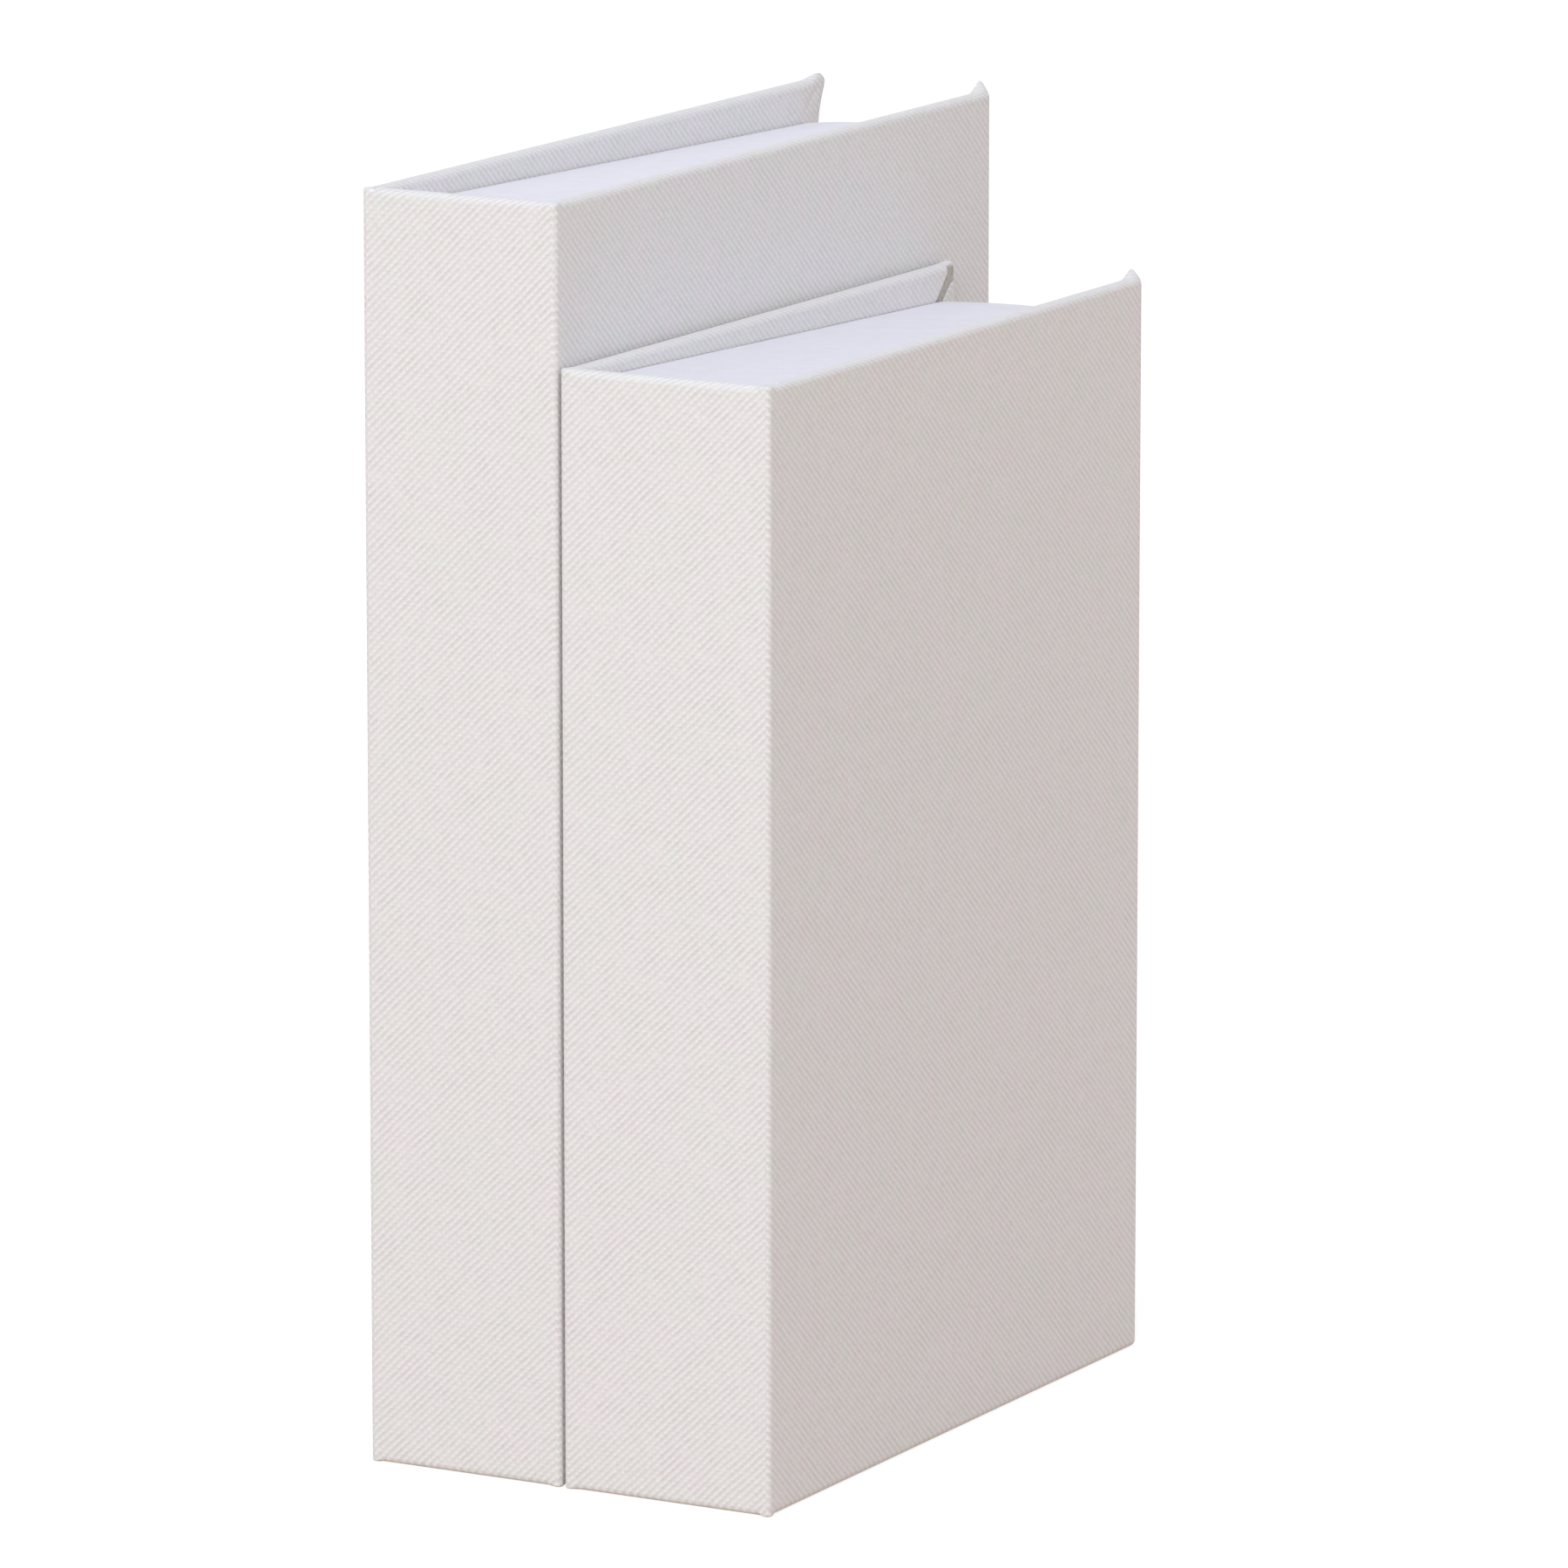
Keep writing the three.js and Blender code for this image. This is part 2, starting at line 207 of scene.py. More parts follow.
@dataclass(frozen=True)
class BookCloth:
    """Plain-woven rayon bookcloth on a paper backing, glued over board.

    It is matt, with a soft light halo at grazing angles, and its yarns show as fine slanted ribs
    because over and under crossings line up along the diagonals. Light and shade on the ribs are
    painted into the colour: painted light on the crests, painted shade in the grooves, strongest
    along the one diagonal that the light picks out. The yarns are spun unevenly, so the ribs swell,
    thin out and break up into single beads. Ridges are heights against the strong rib's.
    """

    name: str = "woven_bookcloth"
    # The crest colour is painted light on the weave's raised yarns, and the groove colour is painted shade
    # in its hollows.
    painted_lit_crest: str = "#F2F0F1"
    painted_shaded_groove: str = "#D6D1D1"
    rosy: str = "#E8DFE3"
    straw: str = "#DFE4DC"
    yarn_across_mm: float = 1.01
    spine_yarn_across_mm: float = 0.93
    yarn_up_mm: float = 0.89
    wander_mm: float = 0.5
    wander_per_m: float = 90.0
    swell_per_m: float = 280.0
    bead_per_m: float = 950.0
    patch_per_m: float = 110.0
    light_flip_start: float = 0.26
    cross_ridge: float = 0.2
    yarn_ridge: float = 0.16
    bead_ridge: float = 2.8
    thinnest_rib: float = 0.2
    rib_swell: float = 1.8
    deepest: float = -0.4
    highest: float = 3.2
    tinted: float = 0.3
    relief_mm: float = 0.06
    roughness: float = 0.9
    sheen: float = 0.2

    def material(self) -> bpy.types.Material:
        """Makes the cloth's material.

        Returns:
            The material.
        """
        made = bpy.data.materials.new(self.name)
        r = Recipe(made)
        place = r.add("TexCoord").outputs["Object"]
        # The threads wander by about a quarter of their spacing over 10 mm.
        drift = r.add("TexNoise", Vector=place, Scale=self.wander_per_m, Detail=2.0)
        reach = [self.wander_mm * MM] * 3
        bent = r.add("VectorMath", "MULTIPLY_ADD", i0=drift.outputs["Color"], i1=reach, i2=place)
        axes = r.add("SeparateXYZ", Vector=bent)
        closer = self.yarn_across_mm / self.spine_yarn_across_mm
        over_spine = r.add("Math", "MULTIPLY", i0=axes.outputs["X"], i1=closer)
        across = r.add("Math", "SUBTRACT", i0=over_spine, i1=axes.outputs["Y"])
        # Painted light: the light picks out one diagonal on the front faces and the other on the side faces,
        # and the colour paints that in, so round an upright corner the ribs turn over soon after the bend
        # starts, as a narrow chevron.
        facing = r.add("SeparateXYZ", Vector=r.add("TexCoord").outputs["Normal"])
        side = r.add("Math", "ABSOLUTE", i0=facing.outputs["X"])
        front = r.add("Math", "ABSOLUTE", i0=facing.outputs["Y"])
        begun = r.add("Math", "GREATER_THAN", i0=side, i1=self.light_flip_start)
        before_half = r.add("Math", "LESS_THAN", i0=side, i1=front)
        light_flipped = r.add("Math", "MULTIPLY", i0=begun, i1=before_half)
        direction = r.add("Math", "MULTIPLY_ADD", i0=light_flipped, i1=-2.0, i2=1.0)
        across = r.add("Math", "MULTIPLY", i0=across, i1=direction)
        u = r.add("Math", "MULTIPLY", i0=across, i1=math.pi / (self.yarn_across_mm * MM))
        v = r.add("Math", "MULTIPLY", i0=axes.outputs["Z"], i1=math.pi / (self.yarn_up_mm * MM))
        # The strong rib is the diagonal that the light picks out, painted into the colour; the cross rib is
        # the faint one.
        light_picked_rib = r.add("Math", "COSINE", i0=r.add("Math", "SUBTRACT", i0=v, i1=u))
        cross_rib = r.add("Math", "COSINE", i0=r.add("Math", "ADD", i0=v, i1=u))
        weft = r.add("Math", "COSINE", i0=r.add("Math", "MULTIPLY", i0=u, i1=2.0))
        warp = r.add("Math", "COSINE", i0=r.add("Math", "MULTIPLY", i0=v, i1=2.0))
        yarns = r.add("Math", "ADD", i0=weft, i1=warp)
        # Spinning faults: a yarn keeps its thickness for 3 to 4 mm, and each bead differs a little.
        swell = r.add("TexNoise", Vector=place, Scale=self.swell_per_m, Detail=1.0)
        strength = r.add("Math", "MULTIPLY_ADD", i0=swell, i1=self.rib_swell, i2=self.thinnest_rib)
        swollen = r.add("Math", "MULTIPLY", i0=light_picked_rib, i1=strength)
        ribs = r.add("Math", "MULTIPLY_ADD", i0=cross_rib, i1=self.cross_ridge, i2=swollen)
        weave = r.add("Math", "MULTIPLY_ADD", i0=yarns, i1=self.yarn_ridge, i2=ribs)
        bead = r.add("TexNoise", Vector=place, Scale=self.bead_per_m, Detail=2.0, Roughness=0.6)
        height = r.add("Math", "MULTIPLY_ADD", i0=bead, i1=self.bead_ridge, i2=weave)
        # Painted light and shade: the colour runs from the grooves' painted shade to the crests' painted
        # light with the weave's height.
        shade = r.add("MapRange", Value=height, i1=self.deepest, i2=self.highest, i3=0.0, i4=1.0)
        yarn = r.add("Mix", data_type="RGBA", i0=shade, i6=linear(self.painted_shaded_groove), i7=linear(self.painted_lit_crest))
        mottle = r.add("TexNoise", Vector=place, Scale=self.patch_per_m, Detail=2.0, Roughness=0.6)
        patch = r.add("MapRange", Value=mottle, i1=0.35, i2=0.65, i3=0.0, i4=1.0)
        tint = r.add("Mix", data_type="RGBA", i0=patch, i6=linear(self.rosy), i7=linear(self.straw))
        colour = r.add("Mix", data_type="RGBA", i0=self.tinted, i6=yarn.outputs[2], i7=tint.outputs[2])
        bump = r.add("Bump", Height=height, Distance=self.relief_mm * MM, Strength=0.8)
        shader = r.add(
            "BsdfPrincipled",
            Base_Color=colour.outputs[2],
            Roughness=self.roughness,
            Normal=bump,
            Sheen_Weight=self.sheen,
            Specular_IOR_Level=0.25,
        )
        r.add("OutputMaterial", Surface=shader)
        return made


@dataclass(frozen=True)
class SheetPaper:
    """Uncoated wove paper, pressed smooth, with a faint cloudy formation and a fine tooth."""

    name: str
    light: str
    dark: str
    roughness: float = 0.7
    tooth_mm: float = 0.01
    tooth_per_m: float = 2500.0
    cloud_per_m: float = 220.0

    def material(self) -> bpy.types.Material:
        """Makes the paper's material.

        Returns:
            The material.
        """
        made = bpy.data.materials.new(self.name)
        r = Recipe(made)
        place = r.add("TexCoord").outputs["Object"]
        cloud = r.add("TexNoise", Vector=place, Scale=self.cloud_per_m, Detail=3.0)
        # Real tooth is under 0.05 mm, drawn here at about 0.4 mm so that it still shows.
        tooth = r.add("TexNoise", Vector=place, Scale=self.tooth_per_m, Detail=2.0)
        share = r.add("MapRange", Value=cloud, i1=0.3, i2=0.7, i3=0.0, i4=1.0)
        colour = r.add("Mix", data_type="RGBA", i0=share, i6=linear(self.dark), i7=linear(self.light))
        bump = r.add("Bump", Height=tooth, Distance=self.tooth_mm * MM, Strength=0.5)
        shader = r.add(
            "BsdfPrincipled",
            Base_Color=colour.outputs[2],
            Roughness=self.roughness,
            Normal=bump,
            Specular_IOR_Level=0.3,
        )
        r.add("OutputMaterial", Surface=shader)
        return made


@dataclass(frozen=True)
class Greyboard:
    """Recycled greyboard, rolled from mixed pulp, dull with paler and darker fibres in it."""

    name: str = "rolled_greyboard"
    body: str = "#C2BCB5"
    fleck: str = "#A39C95"
    fibre_per_m: float = 900.0
    fibre_mm: float = 0.05
    roughness: float = 0.95

    def material(self) -> bpy.types.Material:
        """Makes the board's material.

        Returns:
            The material.
        """
        made = bpy.data.materials.new(self.name)
        r = Recipe(made)
        place = r.add("TexCoord").outputs["Object"]
        fibre = r.add("TexNoise", Vector=place, Scale=self.fibre_per_m, Detail=4.0, Roughness=0.7)
        share = r.add("MapRange", Value=fibre, i1=0.4, i2=0.75, i3=0.0, i4=1.0)
        colour = r.add("Mix", data_type="RGBA", i0=share, i6=linear(self.body), i7=linear(self.fleck))
        bump = r.add("Bump", Height=fibre, Distance=self.fibre_mm * MM, Strength=0.6)
        shader = r.add("BsdfPrincipled", Base_Color=colour.outputs[2], Roughness=self.roughness, Normal=bump)
        r.add("OutputMaterial", Surface=shader)
        return made


@dataclass(frozen=True)
class NickelPlate:
    """Nickel-plated magnet discs, tumbled before plating, bright with fine random rub marks."""

    name: str = "nickel_plated_magnet"
    metal: str = "#C9C5BD"
    rubbed: str = "#B4B0A8"
    rub_per_m: float = 1500.0
    smoothest: float = 0.22
    roughest: float = 0.38

    def material(self) -> bpy.types.Material:
        """Makes the plating's material.

        Returns:
            The material.
        """
        made = bpy.data.materials.new(self.name)
        r = Recipe(made)
        place = r.add("TexCoord").outputs["Object"]
        rub = r.add("TexNoise", Vector=place, Scale=self.rub_per_m, Detail=4.0)
        colour = r.add("Mix", data_type="RGBA", i0=rub, i6=linear(self.metal), i7=linear(self.rubbed))
        gloss = r.add("MapRange", Value=rub, i1=0.3, i2=0.7, i3=self.smoothest, i4=self.roughest)
        shader = r.add("BsdfPrincipled", Base_Color=colour.outputs[2], Metallic=1.0, Roughness=gloss)
        r.add("OutputMaterial", Surface=shader)
        return made


@dataclass(frozen=True)
class Finishes:
    """The materials of the whole pair, one for each of the record's finishes."""

    bookcloth: bpy.types.Material
    page_paper: bpy.types.Material
    lining_paper: bpy.types.Material
    greyboard: bpy.types.Material
    magnet: bpy.types.Material

    @classmethod
    def mixed(cls) -> "Finishes":
        """Makes each finish once.

        Returns:
            The set of finishes.
        """
        return cls(
            bookcloth=BookCloth().material(),
            page_paper=SheetPaper("wove_page_paper", "#EBE9F1", "#E7E5ED").material(),
            lining_paper=SheetPaper("wove_lining_paper", "#EFEDE9", "#EBE8E4", roughness=0.8).material(),
            greyboard=Greyboard().material(),
            magnet=NickelPlate().material(),
        )


@dataclass
class MeshMaker:
    """Points and faces of one piece, in millimetres, with shared points merged at the end."""

    points: list[Point] = field(default_factory=list)
    faces: list[list[int]] = field(default_factory=list)

    def point(self, place: Point) -> int:
        """Adds a point and gives its number."""
        self.points.append(place)
        return len(self.points) - 1

    def band(self, first: Sequence[int], second: Sequence[int]) -> None:
        """Joins two rows of points with four-sided faces, as far as the shorter one goes.

        Args:
            first: Point numbers of one row.
            second: Point numbers of the next row.
        """
        for i in range(min(len(first), len(second)) - 1):
            self.faces.append([first[i], first[i + 1], second[i + 1], second[i]])

    def bands(self, rows: Sequence[Sequence[int]]) -> None:
        """Joins each row of points to the next."""
        for first, second in zip(rows, rows[1:]):
            self.band(first, second)

    def piece(self, name: str) -> bpy.types.Object:
        """Makes the Blender object, in metres, at the origin.

        Args:
            name: The object's name.

        Returns:
            The object.
        """
        mesh = bpy.data.meshes.new(name)
        mesh.from_pydata([tuple(c * MM for c in p) for p in self.points], [], self.faces)
        work = bmesh.new()
        work.from_mesh(mesh)
        bmesh.ops.remove_doubles(work, verts=work.verts, dist=SAME_POINT * MM)
        bmesh.ops.dissolve_degenerate(work, edges=work.edges, dist=SAME_POINT * MM)
        bmesh.ops.recalc_face_normals(work, faces=work.faces)
        middle = sum((v.co for v in work.verts), Vector()) / len(work.verts)
        if sum((f.calc_center_median() - middle).dot(f.normal) * f.calc_area() for f in work.faces) < 0:
            bmesh.ops.reverse_faces(work, faces=work.faces)
        work.to_mesh(mesh)
        work.free()
        crisp(mesh)
        return in_scene(name, mesh)


@dataclass(frozen=True)
class Tuck:
    """The ear of pinched cloth that stands up where a cover's head and fore edge meet.

    The corner is drawn out into a rounded lobe, and the cloth beside it follows less and less. The
    crest is the lobe's highest place through the thickness, and the falls say how fast it fades.
    """

    out: float
    up: float
    along_head: float = 2.0
    down_fore_edge: float = 4.5
    inwards: float = 2.5
    crest: float = 2.9
    rise: float = 1.4
    head_fall: float = 1.8
    fore_edge_fall: float = 1.6
    lost_behind_crest: float = 0.35
    out_at_head: float = 0.55
    up_at_fore_edge: float = 0.5

    def pull(self, from_end: float, from_top: float, w: float, d: float, corner: float) -> Plan:
        """How far a point of the cloth is drawn out and up.

        Args:
            from_end: The point's distance from the fore edge.
            from_top: Its distance from the head.
            w: Its place through the cover's thickness, from the outer face.
            d: Its distance in from the edge of the cover.
            corner: The radius of the cover's corner.

        Returns:
            The distances outwards and upwards.
        """
        if w < self.crest:
            share = (w / self.crest) ** self.rise
        else:
            share = 1 - self.lost_behind_crest * ((w - self.crest) / (COVER - self.crest)) ** 2
        share *= math.exp(-((max(from_end - corner, 0.0) / self.along_head) ** self.head_fall))
        share *= math.exp(-((max(from_top - corner, 0.0) / self.down_fore_edge) ** self.fore_edge_fall))
        share *= math.exp(-((d / self.inwards) ** 2))
        fore = eased(0.5 + (from_top - from_end) / (2 * corner))
        out = self.out_at_head + (1 - self.out_at_head) * fore
        up = 1 + (self.up_at_fore_edge - 1) * fore
        return share * self.out * out, share * self.up * up


@dataclass(frozen=True)
class Station:
    """One place round a board's edge in the flat drawing.

    The turn is -90 degrees along the tail, 0 along the fore edge and 90 along the head. A tip is
    the wedge that the board's cloth makes between its two faces where the joint starts.
    """

    s: float
    z: float
    turn: float
    tip: bool = False


@dataclass
class CoverSkin:
    """The cloth of one run of covered board, drawn flat and then laid over its boards.

    The flat drawing has s along the board from the joint to the fore edge, z up, and w through the
    thickness from the outer face. The cloth goes over the head, tail and fore edge and turns in. The
    fold is where it goes round an upright corner, and the stops are places that need a row of points.
    Rows lie close together near the far corners, wider beyond and far apart in the plain middle.
    """

    length: float
    height: float
    fold: float | None = None
    fold_half_width: float = 1.0
    corner_radius: float = 1.5
    tuck: Tuck | None = None
    mitre: Mitre = Mitre.CLOSED
    stops: Sequence[float] = ()
    turn_in_rows: Sequence[float] = (ROUND_RIM + 0.05, 1.7, 2.2, 3.0, 4.0, 5.5, 7.5, TURN_IN)
    close_rows: float = 0.35
    wide_rows: float = 0.8
    wide_rows_from: float = 4.4
    rows_of_each: int = 12
    plain_from: float = 14.0
    plain_rows: float = 9.0
    corner_steps: int = 8
    open_gap: float = 2.1
    uncut_rim: float = 3.0
    seam_depth: float = 0.18
    seam_width: float = 0.9
    seam_start: float = 1.5
    tip_reach: float = COVER_START - JOINT_AXIS - TIP_GAP

    def profile(self, r: float) -> list[Plan]:
        """The cloth's section over a board's edge, as (w, distance in from the edge).

        Args:
            r: The radius of the edge.

        Returns:
            The section's points from the outer face to the end of the turn-in.
        """
        turns = quarter_turn(RIM_STEPS)
        points: list[Plan] = [(0.0, PLAIN_FACE), (0.0, LAST_FACE_ROW)]
        points += [(r * (1 - math.cos(turn)), r * (1 - math.sin(turn))) for turn in turns]
        points.append((COVER / 2, 0.0))
        points += [(COVER - r * (1 - math.sin(turn)), r * (1 - math.cos(turn))) for turn in turns]
        points += [(COVER, d) for d in self.turn_in_rows]
        points.append((COVER - CLOTH, TURN_IN))
        return points

    def stations(self) -> list[Station]:
        """Lists the places round the board's edge, from the joint's tail end to its head end.

        Returns:
            The places, in order.
        """
        end, top, r = self.length, self.height, self.corner_radius
        near = [r + self.close_rows * k for k in range(self.rows_of_each)]
        near += [r + self.wide_rows_from + self.wide_rows * k for k in range(self.rows_of_each)]
        near.append(self.shortfall(0.0))
        plain = self.even(end - self.plain_from)
        wanted = {0.0, *self.stops, *[end - d for d in near if d < end], *plain}
        along = sorted(s for s in wanted if s <= end - r)
        plain = [self.plain_from + z for z in self.even(top - 2 * self.plain_from)]
        wanted = {*near, *[top - d for d in near], *plain}
        up = sorted(z for z in wanted if r <= z <= top - r)
        turns = [90 * k / self.corner_steps for k in range(1, self.corner_steps)]
        tail = [Station(0.0, 0.0, -90.0, tip=True)]
        tail += [Station(s, 0.0, -90.0) for s in along]
        tail += [Station(end, 0.0, turn - 90) for turn in turns]
        fore = [Station(end, z, 0.0) for z in up]
        head = [Station(end, top, turn) for turn in turns]
        head += [Station(s, top, 90.0) for s in reversed(along)]
        head += [Station(0.0, top, 90.0, tip=True)]
        return tail + fore + head

    def even(self, length: float) -> list[float]:
        """Evenly spaced places of the plain rows, from 0 to a length."""
        count = max(1, round(length / self.plain_rows))
        return [length * k / count for k in range(count + 1)]

    def turned_in(self, w: float, d: float) -> bool:
        """Whether a point of the section lies on the inner face."""
        return w > COVER / 2 and d > ROUND_RIM + HAIR

    def shortfall(self, d: float) -> float:
        """How far a flap of an open mitre stops short of the corner, a distance in from the edge."""
        return d + self.open_gap * (1 + math.exp(-d))

    def place(self, station: Station, w: float, d: float) -> Point:
        """Where a point of the section lies in the flat drawing, in one place round the edge.

        Args:
            station: The place round the edge.
            w: Through the thickness from the outer face.
            d: In from the edge.

        Returns:
            The point as (s, z, w).
        """
        end, top, r = self.length, self.height, self.corner_radius
        angle = math.radians(station.turn)
        high = station.z > top / 2
        inner = self.turned_in(w, d)
        cut = self.mitre is Mitre.OPEN and high and w > self.uncut_rim
        short = self.shortfall(d) if cut else d
        if station.tip:
            into_joint = self.tip_reach * (1 - abs(w - JOINT_AXIS) / JOINT_AXIS)
            s, z = -into_joint, top - d if high else d
        elif abs(station.turn) == 90.0:
            s, z = min(station.s, end - short) if d > r or cut else station.s, top - d if high else d
        elif station.turn == 0.0:
            s, z = end - d, min(max(station.z, d), top - short) if d > r or cut else station.z
        elif d > r:
            s, z = end - d, top - d if high else d
        else:
            s = end - r + (r - d) * math.cos(angle)
            z = (top - r if high else r) + (r - d) * math.sin(angle)
        beside = min(z, top - z)
        if inner and not cut:
            beside_seam = math.exp(-(((end - s - beside) / self.seam_width) ** 2))
            w -= self.seam_depth * beside_seam * min((d - ROUND_RIM) / self.seam_start, 1.0)
        if self.tuck and high:
            out, up = self.tuck.pull(end - s, top - z, w, d, r)
            s, z = s + out, z + up
        return s, z, w

    def lay(self, maker: MeshMaker, bend: Callable[[float, float, float], Point]) -> None:
        """Makes the cloth's faces, bent to where the boards are.

        Args:
            maker: The mesh the faces go into.
            bend: Gives the laid place of a point (s, z, w) of the flat drawing.
        """
        short = self.shortfall(0.0) - HAIR
        rows = []
        for station in self.stations():
            past_fold = RIM_EASE if self.fold is None else abs(station.s - self.fold) - self.fold_half_width
            columns = self.profile(rim_radius(past_fold))
            at_corner = station.s > self.length - short and station.z > self.height - short
            if self.mitre is Mitre.OPEN and at_corner:
                columns = [(w, d) for w, d in columns if w <= self.uncut_rim]
            rows.append([maker.point(bend(*self.place(station, w, d))) for w, d in columns])
        maker.bands(rows)
        self.face(maker, rows)

    def face(self, maker: MeshMaker, rows: list[list[int]]) -> None:
        """Closes the outer face between the tail's and the head's places.

        Args:
            maker: The mesh the faces go into.
            rows: Point numbers of the section at each place round the edge.
        """
        places = self.stations()
        tail = [row[0] for row, place in zip(rows, places) if place.turn == -90.0]
        head = [row[0] for row, place in zip(rows, places) if place.turn == 90.0][::-1]
        middle = [row[0] for row, place in zip(rows, places) if -90.0 < place.turn < 90.0]
        corner = self.length - PLAIN_FACE
        straight = [i for i in range(len(tail)) if places[i].s < corner]
        for i in straight:
            if i + 1 in straight:
                maker.faces.append([tail[i], tail[i + 1], head[i + 1], head[i]])
        last = straight[-1]
        maker.faces.append([*tail[last:], *middle, *reversed(head[last:])])


def thickened(made: bpy.types.Object, thickness: float) -> bpy.types.Object:
    """Gives a sheet its thickness on the inside and keeps the result in its mesh.

    Args:
        made: The sheet.
        thickness: The sheet's thickness.

    Returns:
        The same object.
    """
    layer = made.modifiers.new("thickness", "SOLIDIFY")
    layer.thickness = thickness * MM
    layer.offset = -1.0
    depsgraph = bpy.context.evaluated_depsgraph_get()
    thick = bpy.data.meshes.new_from_object(made.evaluated_get(depsgraph))
    thick.set_sharp_from_angle(angle=math.radians(SHARP_DEGREES))
    made.modifiers.clear()
    made.data = thick
    return made


@dataclass
class BoxPlan:
    """Sizes of one box and where it stands. Inside a box, the lid is at x = 0 and the spine at y = 0."""

    name: str
    body: str
    lid_body: str
    height: float
    depth: float
    thickness: float
    left: float
    front: float
    lid_side: Side
    square_at_spine: float
    square_at_fore_edge: float
    tray_fore_edge: float
    tray_arch: float
    back_tuck: Tuck
    lid_tuck: Tuck
    back_mitre: Mitre

    def to_row(self, x: float, y: float, z: float) -> Point:
        """A place inside the box as a place in the pair's frame.

        Args:
            x: Across the box from its lid's outer face.
            y: Back from the spine's outer face.
            z: Up from the tail.

        Returns:
            The place in the pair's frame.
        """
        across = x if self.lid_side is Side.LEFT else self.thickness - x
        return self.left + across, self.front + y, z

    def node(self, part: str) -> str:
        """The name of this box's piece."""
        return f"{self.name}_{part}"


@dataclass
class Case:
    """The covered boards of one box: spine and back cover in one run of cloth, and the lid."""

    plan: BoxPlan
    finishes: Finishes
    corner_steps: int = 8
    board_ease: float = 0.4
    board_growth: float = 0.4
    board_edge_growth: float = 0.2

    def body_bend(self, s: float, z: float, w: float) -> Point:
        """Lays the flat drawing over the spine, the fixed corner and the back cover."""
        across, r = self.plan.thickness, UPRIGHT_CORNER
        straight = across - r - COVER_START
        arc = r * math.pi / 2
        if s <= straight:
            place = (min(COVER_START + s, across - max(w, r)), w)
        elif s < straight + arc and w < r:
            turn = (s - straight) / r
            place = (across - r + (r - w) * math.sin(turn), r - (r - w) * math.cos(turn))
        elif s < straight + arc:
            place = (across - w, w)
        else:
            place = (across - w, max(r + s - straight - arc, w))
        return self.plan.to_row(place[0], place[1], z)

    def lid_bend(self, s: float, z: float, w: float) -> Point:
        """Lays the flat drawing over the lid."""
        return self.plan.to_row(w, COVER_START + s, z)

    def body_cloth(self) -> bpy.types.Object:
        """Makes the cloth over the spine, the fixed corner and the back cover.

        Returns:
            The piece.
        """
        plan, r = self.plan, UPRIGHT_CORNER
        straight = plan.thickness - r - COVER_START
        arc = r * math.pi / 2
        folds = [straight + arc * k / self.corner_steps for k in range(self.corner_steps + 1)]
        skin = CoverSkin(
            length=straight + arc + plan.depth - r,
            height=plan.height,
            fold=straight + arc / 2,
            tuck=plan.back_tuck,
            mitre=plan.back_mitre,
            stops=[COVER - r, *folds, straight + r - COVER, straight + arc + COVER - r],
        )
        maker = MeshMaker()
        skin.lay(maker, self.body_bend)
        made = thickened(maker.piece(plan.node("case_cloth")), CLOTH - SHEET_GAP)
        made.data.materials.append(self.finishes.bookcloth)
        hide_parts(*[plan.node(f"{part}_cloth") for part in ("spine", "back_joint", "back_cover")])
        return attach(made, plan.body)

    def lid_cloth(self) -> bpy.types.Object:
        """Makes the cloth over the lid.

        Returns:
            The piece.
        """
        plan = self.plan
        skin = CoverSkin(length=plan.depth - COVER_START, height=plan.height, tuck=plan.lid_tuck)
        maker = MeshMaker()
        skin.lay(maker, self.lid_bend)
        made = thickened(maker.piece(plan.node("lid_wrap")), CLOTH - SHEET_GAP)
        made.data.materials.append(self.finishes.bookcloth)
        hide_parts(plan.node("lid_cloth"))
        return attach(made, plan.lid_body)

    def bare_board(self) -> bpy.types.Object:
        """Makes the back cover's board, which shows at the open mitre, with its edges eased by hand.

        Returns:
            The piece.
        """
        low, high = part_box(self.plan.node("back_cover_board"))
        # It fills the cloth's hollow at the edges, and comes up to the turn-ins on its inner side.
        growth, edges = self.board_growth, self.board_edge_growth
        to_right = growth if self.plan.lid_side is Side.RIGHT else 0.0
        low = Vector(low) - Vector((growth - to_right, edges, edges)) * MM
        high = Vector(high) + Vector((to_right, edges, edges)) * MM
        work = bmesh.new()
        bmesh.ops.create_cube(work, size=1.0)
        for vert in work.verts:
            vert.co = [low[i] if vert.co[i] < 0 else high[i] for i in range(3)]
        ease = self.board_ease * MM
        bmesh.ops.bevel(work, geom=work.edges[:], offset=ease, segments=3, profile=0.5, affect="EDGES")
        mesh = bpy.data.meshes.new(self.plan.node("bare_board"))
        work.to_mesh(mesh)
        work.free()
        crisp(mesh)
        made = in_scene(mesh.name, mesh)
        made.data.materials.append(self.finishes.greyboard)
        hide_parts(self.plan.node("back_cover_board"))
        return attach(made, self.plan.body)

    def build(self) -> list[bpy.types.Object]:
        """Makes the case's pieces.

        Returns:
            The pieces.
        """
        pieces = [self.body_cloth(), self.lid_cloth()]
        if self.plan.back_mitre is Mitre.OPEN:
            pieces.append(self.bare_board())
        return pieces


